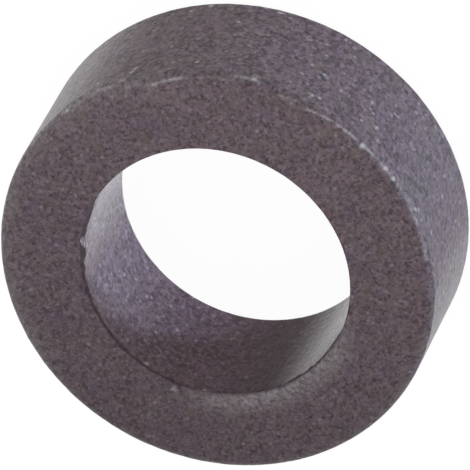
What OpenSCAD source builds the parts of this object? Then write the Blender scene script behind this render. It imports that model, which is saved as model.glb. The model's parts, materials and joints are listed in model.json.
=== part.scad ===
// Bare ferrite ring: a toroidal core that is slipped over a cable or wound as a choke.
// Ferrite powder is pressed in a die and fired as one piece, and tumbling then rounds its edges.
// The axis is +Z, and the ring lies on its lower end face at Z = 0. Sizes are in millimetres.

/* [Ring] */
// Outer diameter of the ring
outer_d = 22.1; // [17:0.1:40]
// Thickness of the ring's wall, measured along a radius from the bore to the outside
wall = 4.2; // [2:0.1:8]
// Length of the ring along its axis, from end face to end face
ring_length = 7.9; // [3:0.1:25]

/* [Tumbled edges] */
// Radius of the two edges round the outside
outer_edge_r = 0.5; // [0.1:0.05:0.8]
// Radius of the two edges at the mouths of the bore
bore_edge_r = 0.1; // [0.1:0.05:0.8]

/* [Hidden] */

// Mauve grey of the fired, uncoated ferrite
ferrite_grey = [0.36, 0.32, 0.34];

outer_r = outer_d / 2;
bore_r = outer_r - wall;

// Radii at which the edge arcs have their centres
outer_arc_x = outer_r - outer_edge_r;
bore_arc_x = bore_r + bore_edge_r;

// Segments of every full circle
$fn = 180;

// One long side of the wall's section: a straight strip, with an edge arc at each end
module section_side(strip_x, arc_x, edge_r) {
    translate([strip_x, edge_r])
        square([edge_r, ring_length - 2 * edge_r]);
    for (arc_z = [edge_r, ring_length - edge_r])
        translate([arc_x, arc_z])
            circle(r = edge_r);
}

// Section of the wall on one side of the axis: a rectangle with rounded corners
module wall_section() {
    translate([bore_arc_x, 0])
        square([outer_arc_x - bore_arc_x, ring_length]);
    section_side(strip_x = bore_r, arc_x = bore_arc_x, edge_r = bore_edge_r);
    section_side(strip_x = outer_arc_x, arc_x = outer_arc_x, edge_r = outer_edge_r);
}

// The whole ring, turned about its axis from the section
module ferrite_ring() {
    color(ferrite_grey)
        rotate_extrude()
            wall_section();
}

ferrite_ring();
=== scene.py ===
import json
import math

import bmesh
import bpy
from mathutils import Matrix, Vector, noise


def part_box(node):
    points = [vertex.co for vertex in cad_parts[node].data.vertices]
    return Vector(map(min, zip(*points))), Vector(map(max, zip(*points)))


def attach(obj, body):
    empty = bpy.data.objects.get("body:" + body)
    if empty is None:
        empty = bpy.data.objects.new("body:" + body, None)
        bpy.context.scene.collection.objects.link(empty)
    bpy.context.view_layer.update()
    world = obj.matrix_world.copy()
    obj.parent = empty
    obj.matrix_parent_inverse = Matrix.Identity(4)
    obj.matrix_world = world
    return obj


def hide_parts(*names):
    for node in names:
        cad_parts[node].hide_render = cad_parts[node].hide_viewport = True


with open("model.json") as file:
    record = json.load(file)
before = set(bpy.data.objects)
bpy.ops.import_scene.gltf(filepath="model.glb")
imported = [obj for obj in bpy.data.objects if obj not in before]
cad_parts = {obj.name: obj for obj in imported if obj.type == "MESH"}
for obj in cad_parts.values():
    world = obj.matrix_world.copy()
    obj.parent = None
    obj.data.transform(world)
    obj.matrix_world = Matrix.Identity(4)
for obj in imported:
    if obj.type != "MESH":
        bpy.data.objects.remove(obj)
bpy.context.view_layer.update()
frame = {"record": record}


# The ferrite ring. It is one piece of soft ferrite, a mauve-grey ceramic of iron oxide and other metal
# oxides. Granulated powder is pressed in a die and fired in a kiln, which leaves a dull, grainy skin,
# and the fired rings are tumbled together, which rounds and chips their edges.
mm = 0.001
ring_low, ring_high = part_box("ferrite_ring")
lower, upper = ring_low.z, ring_high.z
ring_length = upper - lower
mid_height = (lower + upper) / 2
ring_mounts = {mount["name"]: mount["dims"] for mount in frame["record"]["mounts"]}
outer_r = ring_mounts["outer_wall"]["r_mm"] * mm
bore_r = ring_mounts["bore"]["r_mm"] * mm
mid_wall_r = (outer_r + bore_r) / 2
outer_edge_r = (ring_length - ring_mounts["outer_wall"]["length_mm"] * mm) / 2
bore_edge_r = (ring_length - ring_mounts["bore"]["length_mm"] * mm) / 2

# Section of the wall: four corners with their edges rounded, cut into short steps
skin_step = 0.142 * mm
outer_edge_steps = 10
bore_edge_steps = 3
ring_mesh = bmesh.new()
section_corners = [
    ring_mesh.verts.new((radius, 0, height))
    for radius, height in ((outer_r, lower), (outer_r, upper), (bore_r, upper), (bore_r, lower))
]
ring_mesh.faces.new(section_corners)
for edge_r, edge_steps, corner_pair in (
    (outer_edge_r, outer_edge_steps, section_corners[:2]),
    (bore_edge_r, bore_edge_steps, section_corners[2:]),
):
    bmesh.ops.bevel(
        ring_mesh,
        geom=corner_pair,
        offset=edge_r,
        offset_type="OFFSET",
        segments=edge_steps,
        profile=0.5,
        affect="VERTICES",
        material=-1,
    )
for edge in list(ring_mesh.edges):
    cuts = round(edge.calc_length() / skin_step) - 1
    if cuts > 0:
        bmesh.ops.subdivide_edges(ring_mesh, edges=[edge], cuts=cuts)
bmesh.ops.delete(ring_mesh, geom=ring_mesh.faces[:], context="FACES_ONLY")

# The section turns through an eighth of the ring, which is then doubled three times
first_turn = math.radians(360 / 8)
merge_distance = skin_step / 100
bmesh.ops.spin(
    ring_mesh,
    geom=ring_mesh.verts[:] + ring_mesh.edges[:],
    cent=(0, 0, 0),
    axis=(0, 0, 1),
    angle=first_turn,
    steps=round(first_turn * outer_r / skin_step),
)
for turn in (first_turn, 2 * first_turn, 4 * first_turn):
    turned_part = ring_mesh.verts[:] + ring_mesh.edges[:] + ring_mesh.faces[:]
    copied = bmesh.ops.duplicate(ring_mesh, geom=turned_part)
    bmesh.ops.rotate(
        ring_mesh,
        verts=[item for item in copied["geom"] if isinstance(item, bmesh.types.BMVert)],
        cent=(0, 0, 0),
        matrix=Matrix.Rotation(turn, 3, "Z"),
    )
bmesh.ops.remove_doubles(ring_mesh, verts=ring_mesh.verts[:], dist=merge_distance)
bmesh.ops.recalc_face_normals(ring_mesh, faces=ring_mesh.faces[:])
for face in ring_mesh.faces:
    face.smooth = True

# Relief of the pressed granules on a slow swell, sunk below the true surface so that the ring keeps its
# size. The outer wall, which slid along the die, is the coarsest, and the core rod burnished the bore. A
# scale under 1 along the axis draws the granules out a little.
granule_pitch = 0.34 * mm
granule_axis_scale = 0.82
face_granule_depth = 0.010 * mm
wall_granule_depth = 0.011 * mm
bore_granule_depth = 0.008 * mm
swell_pitch = 1.6 * mm
swell_depth = 0.010 * mm


def unevenness(place, pitch):
    """Gives a smooth chance value of 0 to 1, which changes from place to place over about the pitch."""
    return 0.5 + 0.5 * noise.noise(place / pitch)


def skin_sink(place, wall_share, on_outside):
    """Gives how far the skin lies below the true surface, between the granules and in the swell."""
    side_depth = wall_granule_depth if on_outside else bore_granule_depth
    granule_depth = face_granule_depth + (side_depth - face_granule_depth) * wall_share
    pressed_place = Vector((place.x, place.y, place.z * granule_axis_scale))
    crown_distance = min(noise.voronoi(pressed_place / granule_pitch)[0][0], 1.0)
    return granule_depth * crown_distance + swell_depth * unevenness(place, swell_pitch)


# Wear from tumbling: all the rounded edges are ragged and a little rubbed. Places across the outer edge
# are in mm along the section, from where the upper face begins to round over, and angles about the axis in
# degrees. Worn areas and painted pale areas are patchy: their paleness has a least share everywhere and
# gains more in ragged places.
edge_pitch = 0.45 * mm
edge_depth_share = 0.07
edge_rub_share = 0.10
patchy_least, patchy_gain = 0.6, 0.8


def window(value, first, last, fade):
    """Gives 1 between first and last, falling smoothly to 0 over the distance fade outside them."""
    share = max(0.0, min(1.0, 1 + min(value - first, last - value) / fade))
    return share * share * (3 - 2 * share)


def place_across(reach, height):
    """Gives the place across the upper outer edge."""
    over = reach - (outer_r - outer_edge_r)
    rise = height - (upper - outer_edge_r)
    if over < 0:
        return over / mm
    if rise > 0:
        return outer_edge_r * math.atan2(over, rise) / mm
    return (outer_edge_r * math.pi / 2 - rise) / mm


# A broad rim on one side of the upper face is painted pale, more and more towards the rounded edge: a
# painted highlight, as the light falls on that side.
rim_middle, rim_half_span, rim_fade = 5, 45, 30
rim_first, rim_full, rim_last, rim_last_fade = -2.0, 0.3, 0.7, 0.5
rim_power = 3
rim_share = 0.14


def rim_painted_highlight(angle, across, ragged):
    """Gives how far the rim is painted pale as highlight."""
    from_middle = abs((angle - rim_middle + 180) % 360 - 180)
    on_rim = min(max(0.0, (across - rim_first) / (rim_full - rim_first)), 1.0) ** rim_power
    on_rim *= window(across, rim_first, rim_last, rim_last_fade)
    on_rim *= window(from_middle, 0, rim_half_span, rim_fade)
    return rim_share * on_rim * (patchy_least + patchy_gain * ragged)


# Streaks on the upper outer edge, where rings knocked together, are sunk a little and painted pale: partly
# rubbed wear and partly painted highlight where the rounded edge catches light. Each has an angle and a
# place across the edge at its two ends, then its width in mm and how strong it is. A streak is broken: it
# has a least share of its paleness everywhere and gains more in the most ragged places.
edge_streaks = (
    (0, 0.62, 32, 0.62, 0.28, 0.55),
    (32, 0.62, 60, 0.62, 0.28, 0.34),
    (217, 0.45, 236, 0.62, 0.20, 0.45),
    (236, 0.62, 249, 0.56, 0.16, 0.38),
    (249, 0.56, 262, 0.47, 0.14, 0.80),
    (262, 0.48, 269, 0.30, 0.12, 0.90),
    (273, 0.40, 277, 0.33, 0.12, 0.40),
    (284, 0.66, 290, 0.61, 0.18, 0.50),
    (291, 0.32, 304, 0.22, 0.12, 0.35),
    (304, 0.22, 312, -0.02, 0.14, 0.80),
    (311, 0.00, 320, 0.20, 0.24, 0.30),
    (321, 0.38, 333, 0.42, 0.16, 0.35),
    (324, 0.52, 340, 0.58, 0.38, 0.60),
    (338, 0.60, 350, 0.95, 0.50, 0.50),
    (346, 0.58, 360, 0.62, 0.32, 0.60),
)
streak_fade = 1.5
streak_depth = 0.02 * mm
streak_least, streak_gain = 0.45, 0.45
most_ragged_first, most_ragged_fade = 0.55, 0.25


def streak_sink_and_highlight(angle, across, ragged):
    """Gives how far the streaks sink the edge and how pale they are painted, partly as highlight."""
    most_ragged = window(ragged, most_ragged_first, 1.0, most_ragged_fade)
    sink, paleness = 0.0, 0.0
    for first, first_across, last, last_across, width, strength in edge_streaks:
        along = (angle - first) / (last - first)
        middle = first_across + (last_across - first_across) * along
        streak = strength * window(across, middle, middle, width) * window(angle, first, last, streak_fade)
        sink += streak_depth * streak
        paleness = max(paleness, streak * (streak_least + streak_gain * most_ragged))
    return sink, paleness


# A band of the upper face beside the bore is paler, and the paleness laps a little over the bore's lip
pale_band_first, pale_band_last, pale_band_fade = 124, 168, 30
pale_band_width, pale_band_spread = 0.15 * mm, 1.30 * mm
pale_band_lap = 0.12 * mm
pale_band_share = 0.28


def pale_band(angle, reach, height, ragged):
    """Gives how far the band beside the bore is paler."""
    in_pale_band = window(height, upper - pale_band_lap, upper, pale_band_lap)
    in_pale_band *= window(reach, bore_r, bore_r + pale_band_width, pale_band_spread)
    in_pale_band *= window(angle, pale_band_first, pale_band_last, pale_band_fade)
    return pale_band_share * in_pale_band * (patchy_least + patchy_gain * ragged)


# Nicks and pale specks: angle, distance from the axis, height, size and depth. The first four are one long
# nick in the lip of the bore. A nick is rubbed most in its middle.
nicks = (
    (18, bore_r, upper - 0.20 * mm, 0.20 * mm, 0.06 * mm),
    (20.5, bore_r, upper - 0.55 * mm, 0.24 * mm, 0.07 * mm),
    (23.5, bore_r, upper - 0.95 * mm, 0.24 * mm, 0.05 * mm),
    (26, bore_r, upper - 1.35 * mm, 0.20 * mm, 0.03 * mm),
    (83.5, bore_r, upper - 0.40 * mm, 0.16 * mm, 0.02 * mm),
    (98, bore_r + 0.35 * mm, upper, 0.16 * mm, 0.02 * mm),
    (230, outer_r, upper - 0.60 * mm, 0.16 * mm, 0.02 * mm),
    (240.5, outer_r - 0.03 * mm, upper - 0.32 * mm, 0.18 * mm, 0.02 * mm),
    (244, outer_r - 0.03 * mm, upper - 0.32 * mm, 0.20 * mm, 0.02 * mm),
    (252, outer_r - 0.08 * mm, upper - 0.23 * mm, 0.24 * mm, 0.03 * mm),
    (251.5, outer_r, upper - 2.25 * mm, 0.16 * mm, 0.02 * mm),
    (284.5, outer_r - 0.01 * mm, upper - 0.42 * mm, 0.16 * mm, 0.02 * mm),
    (301, outer_r, upper - 1.25 * mm, 0.16 * mm, 0.02 * mm),
    (318, outer_r, upper - 1.30 * mm, 0.16 * mm, 0.02 * mm),
    (318.5, outer_r, upper - 0.90 * mm, 0.16 * mm, 0.02 * mm),
    (320.5, outer_r - 0.03 * mm, upper - 0.32 * mm, 0.16 * mm, 0.02 * mm),
    (324.5, outer_r - 0.11 * mm, upper - 0.19 * mm, 0.18 * mm, 0.02 * mm),
    (338.5, outer_r - 0.08 * mm, upper - 0.23 * mm, 0.26 * mm, 0.03 * mm),
    (287.5, outer_r, lower + 0.60 * mm, 0.18 * mm, 0.03 * mm),
    (306, outer_r, lower + 0.55 * mm, 0.18 * mm, 0.03 * mm),
)
nick_rub_share = 1.5
nick_places = [
    (Matrix.Rotation(math.radians(angle), 3, "Z") @ Vector((reach, 0, height)), size, depth)
    for angle, reach, height, size, depth in nicks
]


def nick_wear(place):
    """Gives how far the nicks sink the skin and how far they are rubbed."""
    sink, paleness = 0.0, 0.0
    for nick_place, size, depth in nick_places:
        nearness = 1 - (place - nick_place).length / size
        if nearness > 0:
            sink += depth * nearness * (2 - nearness)
            paleness = max(paleness, min(1.0, nick_rub_share * nearness))
    return sink, paleness


# The upper mouth of the bore is dark and dull over an uneven depth. The dark is painted shade, standing for
# the shadow and the dark reflections at the mouth. It is deeper on the +X side than on the other, grows
# towards both ends of the X axis, and grows again below the long nick as a painted shadow of it. Pale
# places stay clear.
mouth_depth, mouth_end_depth = 0.20 * mm, 1.40 * mm
mouth_lean = 0.25
mouth_fade_share = 0.4
mouth_least, mouth_gain = 0.4, 1.2
least_side = 0.01
below_nick_first, below_nick_last, below_nick_fade = 26, 28, 3
below_nick_depth = 0.45 * mm
paleness_clears = 3


def mouth_painted_shade(place, reach, angle, ragged):
    """Gives how far the mouth of the bore is painted with shade."""
    dark_depth = mouth_depth * (1 + mouth_lean * place.x / reach)
    dark_depth = min(dark_depth / max(abs(place.y) / reach, least_side), mouth_end_depth)
    dark_depth += below_nick_depth * window(angle, below_nick_first, below_nick_last, below_nick_fade)
    dark_depth *= mouth_least + mouth_gain * ragged
    return window(place.z, upper - dark_depth, upper, mouth_fade_share * dark_depth)


# Each point of the skin takes its wear and keeps four shares for the finish. The wall share is 0 on the end
# faces and 1 on the walls, and the edge share is 1 halfway round a rounded edge and 0 on the flats.
ring_mesh.normal_update()
wall_layer = ring_mesh.verts.layers.float.new("wall_share")
bore_layer = ring_mesh.verts.layers.float.new("bore_share")
paleness_layer = ring_mesh.verts.layers.float.new("edge_paleness")
mouth_layer = ring_mesh.verts.layers.float.new("mouth_shade")
worn_places = []
for vert in ring_mesh.verts:
    place = vert.co
    reach = math.hypot(place.x, place.y)
    angle = math.degrees(math.atan2(place.y, place.x)) % 360
    wall_share = 1 - vert.normal.z ** 2
    edge_share = 4 * wall_share * (1 - wall_share)
    on_outside = reach > mid_wall_r
    is_upper = place.z > mid_height
    ragged = unevenness(place, edge_pitch)
    edge_r = outer_edge_r if on_outside else bore_edge_r

    nick_sink, nick_rub = nick_wear(place)
    edge_sink = edge_depth_share * edge_r * edge_share * ragged
    sink = skin_sink(place, wall_share, on_outside) + edge_sink + nick_sink
    paleness = max(edge_rub_share * edge_share * ragged, nick_rub)
    if is_upper and on_outside:
        across = place_across(reach, place.z)
        streak_sink, streak_paleness = streak_sink_and_highlight(angle, across, ragged)
        sink += streak_sink
        # The rim's paleness is painted highlight, and the streaks' paleness is partly painted highlight.
        paleness = max(paleness, streak_paleness, rim_painted_highlight(angle, across, ragged))
    elif is_upper:
        paleness = max(paleness, pale_band(angle, reach, place.z, ragged))

    vert[wall_layer] = wall_share
    vert[paleness_layer] = paleness
    if not on_outside:
        unpale = max(0.0, 1 - paleness_clears * paleness)
        vert[bore_layer] = wall_share
        # The mouth share is painted shade.
        vert[mouth_layer] = mouth_painted_shade(place, reach, angle, ragged) * wall_share * unpale
    worn_places.append(place - vert.normal * sink)
for vert, worn_place in zip(ring_mesh.verts, worn_places):
    vert.co = worn_place

ring_data = bpy.data.meshes.new("pressed_ferrite_ring")
ring_mesh.to_mesh(ring_data)
ring_mesh.free()
ring = bpy.data.objects.new("pressed_ferrite_ring", ring_data)
bpy.context.scene.collection.objects.link(ring)

# Ferrite: dull mauve grey, mottled from granule to granule, with pale flecks that are partly pale crystals
# and partly painted glints
mauve_dark = (0.050, 0.035, 0.042, 1)
mauve_light = (0.194, 0.141, 0.165, 1)
olive_grey = (0.127, 0.105, 0.096, 1)
violet_grey = (0.121, 0.086, 0.126, 1)
fleck_grey = (0.42, 0.39, 0.43, 1)
# Pale grey of rubbed wear and of painted highlight
pale_grey = (0.46, 0.445, 0.46, 1)
# Brown tint of the painted shade on the darker side of the bore
bore_brown = (1.16, 0.78, 0.92, 1)
# Dark mauve of the painted shade at the mouth of the bore
painted_shade_mauve = (0.042, 0.022, 0.036, 1)
ferrite_ior = 1.3
ferrite_sheen, ferrite_sheen_roughness = 0.05, 0.45
whole = (0.0, 1.0)
ferrite = bpy.data.materials.new("sintered_ferrite")
ferrite.use_nodes = True
ferrite_tree = ferrite.node_tree
ferrite_tree.nodes.clear()


def add_node(tree, kind, settings=None, values=None):
    """Adds a node, with its settings by attribute and its unlinked inputs by socket name or number."""
    node = tree.nodes.new(kind)
    for name, value in (settings or {}).items():
        setattr(node, name, value)
    for name, value in (values or {}).items():
        node.inputs[name].default_value = value
    return node


def add_range(tree, source, source_span, result_span):
    """Maps a socket from one span of values to another, held at its ends, and gives the result socket."""
    limits = zip(("From Min", "From Max", "To Min", "To Max"), source_span + result_span)
    node = add_node(tree, "ShaderNodeMapRange", values=dict(limits))
    tree.links.new(source, node.inputs["Value"])
    return node.outputs["Result"]


def add_math(tree, operation, result, *others):
    """Joins two or more sockets in turn with Math nodes and gives the last value socket."""
    for other in others:
        node = add_node(tree, "ShaderNodeMath", {"operation": operation})
        tree.links.new(result, node.inputs[0])
        tree.links.new(other, node.inputs[1])
        result = node.outputs["Value"]
    return result


def add_tint(tree, share, base, tint, blend="MIX"):
    """Mixes a plain tint over a base colour socket by a share socket and gives the colour socket."""
    node = add_node(tree, "ShaderNodeMix", {"data_type": "RGBA", "blend_type": blend}, {7: tint})
    tree.links.new(share, node.inputs[0])
    tree.links.new(base, node.inputs[6])
    return node.outputs[2]


def add_attribute(tree, name):
    """Adds an Attribute node for a share that the mesh carries and gives its socket."""
    settings = {"attribute_type": "GEOMETRY", "attribute_name": name}
    return add_node(tree, "ShaderNodeAttribute", settings).outputs["Fac"]


def add_noise(tree, place, pitch, detail, roughness):
    """Adds a cloudy texture of the given pitch and gives its socket."""
    values = {"Scale": 1 / pitch, "Detail": detail, "Roughness": roughness}
    node = add_node(tree, "ShaderNodeTexNoise", values=values)
    tree.links.new(place, node.inputs["Vector"])
    return node.outputs["Fac"]


def add_cells(tree, place, pitch):
    """Adds a texture of cells of the given pitch and gives its output sockets."""
    node = add_node(tree, "ShaderNodeTexVoronoi", values={"Scale": 1 / pitch})
    tree.links.new(place, node.inputs["Vector"])
    return node.outputs


def add_distance(tree, place, way):
    """Gives a socket for how far a place lies along a way from the axis."""
    node = add_node(tree, "ShaderNodeVectorMath", {"operation": "DOT_PRODUCT"}, {1: way})
    tree.links.new(place, node.inputs[0])
    return node.outputs["Value"]


ferrite_skin = add_node(
    ferrite_tree,
    "ShaderNodeBsdfPrincipled",
    values={"IOR": ferrite_ior, "Sheen Weight": ferrite_sheen, "Sheen Roughness": ferrite_sheen_roughness},
)
ferrite_out = add_node(ferrite_tree, "ShaderNodeOutputMaterial")
ferrite_tree.links.new(ferrite_skin.outputs["BSDF"], ferrite_out.inputs["Surface"])
skin_place = add_node(ferrite_tree, "ShaderNodeTexCoord").outputs["Object"]
on_walls = add_attribute(ferrite_tree, "wall_share")
in_bore = add_attribute(ferrite_tree, "bore_share")
in_mouth = add_attribute(ferrite_tree, "mouth_shade")
pale_places = add_attribute(ferrite_tree, "edge_paleness")

# Grain: a mottle of grit and pressed granules, drawn out along the axis as the relief is. The granules have
# tones of their own only on the walls and the edges.
mottle_pitch, mottle_detail, mottle_roughness = 0.22 * mm, 2.0, 0.9
grit_pitch = 0.15 * mm
toned_granule_pitch = 0.28 * mm
tone_span = (-0.26, 0.26)
dark_level, light_level = 0.20, 0.80
pressed_node = add_node(ferrite_tree, "ShaderNodeMapping", values={"Scale": (1, 1, granule_axis_scale)})
ferrite_tree.links.new(skin_place, pressed_node.inputs["Vector"])
pressed_skin = pressed_node.outputs["Vector"]
mottle = add_noise(ferrite_tree, pressed_skin, mottle_pitch, mottle_detail, mottle_roughness)
grit_chance = add_cells(ferrite_tree, pressed_skin, grit_pitch)["Color"]
grit_tone = add_range(ferrite_tree, grit_chance, whole, tone_span)
granule_chance = add_cells(ferrite_tree, pressed_skin, toned_granule_pitch)["Color"]
granule_tone = add_range(ferrite_tree, granule_chance, whole, tone_span)
granule_tone = add_math(ferrite_tree, "MULTIPLY", granule_tone, on_walls)
grain_level = add_math(ferrite_tree, "ADD", mottle, grit_tone, granule_tone)
grain_ramp = add_node(ferrite_tree, "ShaderNodeValToRGB")
for ramp_end, level, colour in zip(
    grain_ramp.color_ramp.elements, (dark_level, light_level), (mauve_dark, mauve_light)
):
    ramp_end.position = level
    ramp_end.color = colour
ferrite_tree.links.new(grain_level, grain_ramp.inputs["Fac"])

# Patches: the mauve leans to violet and to olive grey from place to place
patch_pitch, patch_detail, patch_roughness = 0.9 * mm, 1.0, 0.5
olive_span, olive_shares = (0.52, 0.75), (0.0, 0.5)
violet_span, violet_shares = (0.25, 0.48), (0.5, 0.0)
patches = add_noise(ferrite_tree, skin_place, patch_pitch, patch_detail, patch_roughness)
olive_share = add_range(ferrite_tree, patches, olive_span, olive_shares)
violet_share = add_range(ferrite_tree, patches, violet_span, violet_shares)
skin_tone = add_tint(ferrite_tree, olive_share, grain_ramp.outputs["Color"], olive_grey)
skin_tone = add_tint(ferrite_tree, violet_share, skin_tone, violet_grey)

# Flecks: small pale spots on some of the granules, stronger on the walls, partly pale crystals and partly
# painted glints. Each kind has the pitch of its granules, the size of its spots, the share of granules
# without one and its strength.
fleck_kinds = (
    (0.21 * mm, 0.10 * mm, 0.50, 0.36),
    (0.38 * mm, 0.14 * mm, 0.55, 0.85),
)
fleck_core_share = 1 / 3
fleck_wall_shares = (0.50, 1.0)
fleck_wall = add_range(ferrite_tree, on_walls, whole, fleck_wall_shares)
for fleck_pitch, fleck_r, bare_share, fleck_strength in fleck_kinds:
    fleck_cells = add_cells(ferrite_tree, pressed_skin, fleck_pitch)
    spot_r = fleck_r / fleck_pitch
    spot_span = (spot_r * fleck_core_share, spot_r)
    fleck_spot = add_range(ferrite_tree, fleck_cells["Distance"], spot_span, (1.0, 0.0))
    fleck_choice = add_range(ferrite_tree, fleck_cells["Color"], (bare_share, 1.0), (0.0, fleck_strength))
    fleck_share = add_math(ferrite_tree, "MULTIPLY", fleck_spot, fleck_choice, fleck_wall)
    skin_tone = add_tint(ferrite_tree, fleck_share, skin_tone, fleck_grey)

# Painted light and shade: one side of the ring is painted a little paler than the other, as light falls on
# it, and one side of the bore is painted pale where light reaches into it, while its other side is painted
# darker and browner as painted shadow. The outer wall is darker than the faces.
painted_light_way, bore_light_way = (0.34, -0.94, 0.0), (0.96, 0.28, 0.0)
painted_light_levels = (0.78, 1.23)
bore_light_span, bore_light_levels = (0.2 * bore_r, bore_r), (1.0, 1.5)
bore_shade_span, bore_shade_levels = (-0.45 * bore_r, 0.0), (0.48, 1.0)
outside_levels = (1.0, 0.79)
painted_light_side = add_distance(ferrite_tree, skin_place, painted_light_way)
painted_light_and_level = add_range(ferrite_tree, painted_light_side, (-outer_r, outer_r), painted_light_levels)
bore_side = add_distance(ferrite_tree, skin_place, bore_light_way)
bore_side = add_math(ferrite_tree, "MULTIPLY", bore_side, in_bore)
bore_painted_light = add_range(ferrite_tree, bore_side, bore_light_span, bore_light_levels)
bore_painted_shade = add_range(ferrite_tree, bore_side, bore_shade_span, bore_shade_levels)
outside_share = add_math(ferrite_tree, "SUBTRACT", on_walls, in_bore)
outside_level = add_range(ferrite_tree, outside_share, whole, outside_levels)
painted_light_and_level = add_math(ferrite_tree, "MULTIPLY", painted_light_and_level, bore_painted_light, bore_painted_shade, outside_level)
painted_light_node = add_node(ferrite_tree, "ShaderNodeVectorMath", {"operation": "SCALE"})
ferrite_tree.links.new(skin_tone, painted_light_node.inputs[0])
ferrite_tree.links.new(painted_light_and_level, painted_light_node.inputs["Scale"])
shade_brown_share = add_range(ferrite_tree, bore_side, (-bore_r, bore_r), (1.0, 0.0))
shade_brown_share = add_math(ferrite_tree, "MULTIPLY", shade_brown_share, in_bore)
skin_tone = add_tint(ferrite_tree, shade_brown_share, painted_light_node.outputs["Vector"], bore_brown, "MULTIPLY")

# Painted shade and pale places: the mouth of the bore is painted darker with shade, and the pale places are
# paler, most of all where the grain stands up. They are rubbed wear on the nicks and edges, painted
# highlight on the rim, and both on the streaks.
mouth_shares = (0.0, 0.70)
standing_span = (0.36, 0.64)
pale_catches = (0.40, 1.45)
mouth_share = add_range(ferrite_tree, in_mouth, whole, mouth_shares)
skin_tone = add_tint(ferrite_tree, mouth_share, skin_tone, painted_shade_mauve)
pale_catch = add_range(ferrite_tree, mottle, standing_span, pale_catches)
pale_share = add_math(ferrite_tree, "MULTIPLY", pale_places, pale_catch)
skin_tone = add_tint(ferrite_tree, pale_share, skin_tone, pale_grey)
ferrite_tree.links.new(skin_tone, ferrite_skin.inputs["Base Color"])

# Gloss: dull when looked at squarely, with a silky sheen where the skin turns away from the eye, a little
# stronger where the grain stands up. The bore, which the core rod of the die burnished on one side more
# than on the other, has more of that sheen than the outside, but its mouth is quite dull.
facing_blend = 0.5
bore_burnishes = (0.0, 0.05)
side_burnishes = (-0.03, 0.03)
turned_span = (0.66, 0.81)
sheen_depths = (-0.26, -0.52)
sheen_catches = (0.85, 1.15)
skin_roughness = 0.58
mouth_dullnesses = (0.0, 0.30)
facing = add_node(ferrite_tree, "ShaderNodeLayerWeight", values={"Blend": facing_blend}).outputs["Facing"]
bore_burnish = add_range(ferrite_tree, in_bore, whole, bore_burnishes)
side_burnish = add_range(ferrite_tree, bore_side, (-bore_r, bore_r), side_burnishes)
burnish = add_math(ferrite_tree, "ADD", bore_burnish, side_burnish)
facing = add_math(ferrite_tree, "ADD", facing, burnish)
turned_away = add_range(ferrite_tree, facing, turned_span, whole)
sheen_depth = add_range(ferrite_tree, in_bore, whole, sheen_depths)
mouth_gloss = add_range(ferrite_tree, in_mouth, whole, (1.0, 0.0))
sheen_catch = add_range(ferrite_tree, mottle, standing_span, sheen_catches)
sheen = add_math(ferrite_tree, "MULTIPLY", turned_away, sheen_depth, mouth_gloss, sheen_catch)
roughness = add_range(ferrite_tree, sheen, (-1.0, 0.0), (skin_roughness - 1.0, skin_roughness))
mouth_dullness = add_range(ferrite_tree, in_mouth, whole, mouth_dullnesses)
roughness = add_math(ferrite_tree, "ADD", roughness, mouth_dullness)
ferrite_tree.links.new(roughness, ferrite_skin.inputs["Roughness"])

# Relief too fine for the mesh: the crowns of the granules and the grit on them
bump_height = 0.045 * mm
crown_pitch = 0.26 * mm
crown_span = (0.0, 0.7)
wall_bumps, bore_bumps = (0.45, 0.5), (1.0, 0.6)
crown_distance = add_cells(ferrite_tree, pressed_skin, crown_pitch)["Distance"]
granule_crown = add_range(ferrite_tree, crown_distance, crown_span, (1.0, 0.0))
grain_height = add_math(ferrite_tree, "ADD", mottle, granule_crown)
wall_bump = add_range(ferrite_tree, on_walls, whole, wall_bumps)
bore_bump = add_range(ferrite_tree, in_bore, whole, bore_bumps)
grain_strength = add_math(ferrite_tree, "MULTIPLY", wall_bump, bore_bump)
grain_bump = add_node(ferrite_tree, "ShaderNodeBump", values={"Distance": bump_height})
ferrite_tree.links.new(grain_height, grain_bump.inputs["Height"])
ferrite_tree.links.new(grain_strength, grain_bump.inputs["Strength"])
ferrite_tree.links.new(grain_bump.outputs["Normal"], ferrite_skin.inputs["Normal"])

ring_data.materials.append(ferrite)
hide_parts("ferrite_ring")
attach(ring, "root")


# The floor is the white translucent sheet of a light table, lit from below, with the ring lying on it. It
# looks white to the eye and in reflections, takes a faint soft shadow, and lets the lamp under it through.
floor_half_width = 2.0
sheet_grey = (0.12, 0.12, 0.12, 1)
sheet_glow, sheet_seen = 0.55, 0.94
floor_mesh = bmesh.new()
bmesh.ops.create_grid(floor_mesh, x_segments=1, y_segments=1, size=floor_half_width)
floor_data = bpy.data.meshes.new("white_floor")
floor_mesh.to_mesh(floor_data)
floor_mesh.free()
floor = bpy.data.objects.new("white_floor", floor_data)
bpy.context.scene.collection.objects.link(floor)

white_sheet = bpy.data.materials.new("white_sheet")
white_sheet.use_nodes = True
sheet_tree = white_sheet.node_tree
sheet_tree.nodes.clear()


def add_seen(tree):
    """Gives a socket that is 1 for what the eye sees, straight, mirrored or through glass, or else 0."""
    rays = add_node(tree, "ShaderNodeLightPath").outputs
    seen_rays = [rays[f"Is {kind} Ray"] for kind in ("Camera", "Glossy", "Transmission")]
    return add_math(tree, "MAXIMUM", *seen_rays)


sheet_shade = add_node(sheet_tree, "ShaderNodeBsdfDiffuse", values={"Color": sheet_grey})
sheet_white = add_node(sheet_tree, "ShaderNodeEmission")
sheet_level = add_range(sheet_tree, add_seen(sheet_tree), whole, (sheet_glow, sheet_seen))
sheet_tree.links.new(sheet_level, sheet_white.inputs["Strength"])
sheet_skin = add_node(sheet_tree, "ShaderNodeAddShader")
sheet_tree.links.new(sheet_shade.outputs["BSDF"], sheet_skin.inputs[0])
sheet_tree.links.new(sheet_white.outputs["Emission"], sheet_skin.inputs[1])
sheet_out = add_node(sheet_tree, "ShaderNodeOutputMaterial")
sheet_tree.links.new(sheet_skin.outputs["Shader"], sheet_out.inputs["Surface"])
floor_data.materials.append(white_sheet)
floor.visible_shadow = False


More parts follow.
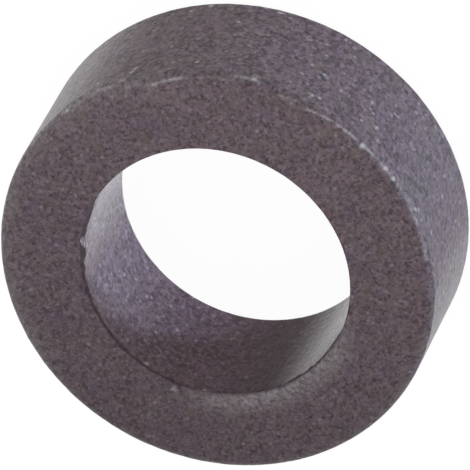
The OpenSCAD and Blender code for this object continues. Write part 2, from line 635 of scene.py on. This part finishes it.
# Soft studio light: an even white surround above the table, and one small cool lamp below the sheet at the
# side that the picture has on its right, which rakes across the outer wall and shines up into the bore.
surround_light, surround_seen = 0.72, 1.0
surround = bpy.data.worlds.new("white_surround")
surround.use_nodes = True
bpy.context.scene.world = surround
surround_tree = surround.node_tree
surround_tree.nodes.clear()
surround_level = add_range(surround_tree, add_seen(surround_tree), whole, (surround_light, surround_seen))
surround_white = add_node(surround_tree, "ShaderNodeBackground", values={"Color": (1, 1, 1, 1)})
surround_tree.links.new(surround_level, surround_white.inputs["Strength"])
surround_out = add_node(surround_tree, "ShaderNodeOutputWorld")
surround_tree.links.new(surround_white.outputs["Background"], surround_out.inputs["Surface"])

ring_centre = (ring_low + ring_high) / 2
lamp_angle = math.radians(215)
lamp_drop = 0.50
lamp_distance = 0.5
lamp_width = 0.07
lamp_watts = 1.87
lamp_colour = (0.62, 0.77, 1.0)
lamp_way = Vector((math.cos(lamp_angle), math.sin(lamp_angle), -lamp_drop)).normalized()
lamp_data = bpy.data.lights.new("side_lamp", "AREA")
lamp_data.shape = "DISK"
lamp_data.size = lamp_width
lamp_data.energy = lamp_watts
lamp_data.color = lamp_colour
lamp = bpy.data.objects.new("side_lamp", lamp_data)
lamp.location = ring_centre + lamp_way * lamp_distance
lamp.rotation_euler = lamp_way.to_track_quat("Z", "Y").to_euler()
bpy.context.scene.collection.objects.link(lamp)


# The camera looks down at the ring from the front and is turned over, so that the picture has the upper
# face at the lower left. It stands well back with a long lens, and the ring nearly fills the frame.
picture_side_px = 470
ring_across_px = 447.0
aim_up_px = 0.4
camera_distance = 22.12 * 2 * outer_r
camera_tilt = math.radians(32.45)
camera_roll = math.radians(-151.22)
nearest_seen, farthest_seen = 0.01, 10.0
pixel = 2 * outer_r / ring_across_px
camera_data = bpy.data.cameras.new("camera")
camera_data.lens = camera_data.sensor_width * camera_distance / (picture_side_px * pixel)
camera_data.clip_start = nearest_seen
camera_data.clip_end = farthest_seen
camera = bpy.data.objects.new("camera", camera_data)
camera_turn = Matrix.Rotation(camera_tilt, 4, "X") @ Matrix.Rotation(camera_roll, 4, "Z")
camera_place = ring_centre + camera_turn.to_3x3() @ Vector((0, aim_up_px * pixel, camera_distance))
camera.matrix_world = Matrix.Translation(camera_place) @ camera_turn
bpy.context.scene.collection.objects.link(camera)
bpy.context.scene.camera = camera
bpy.context.scene.view_settings.view_transform = "Standard"
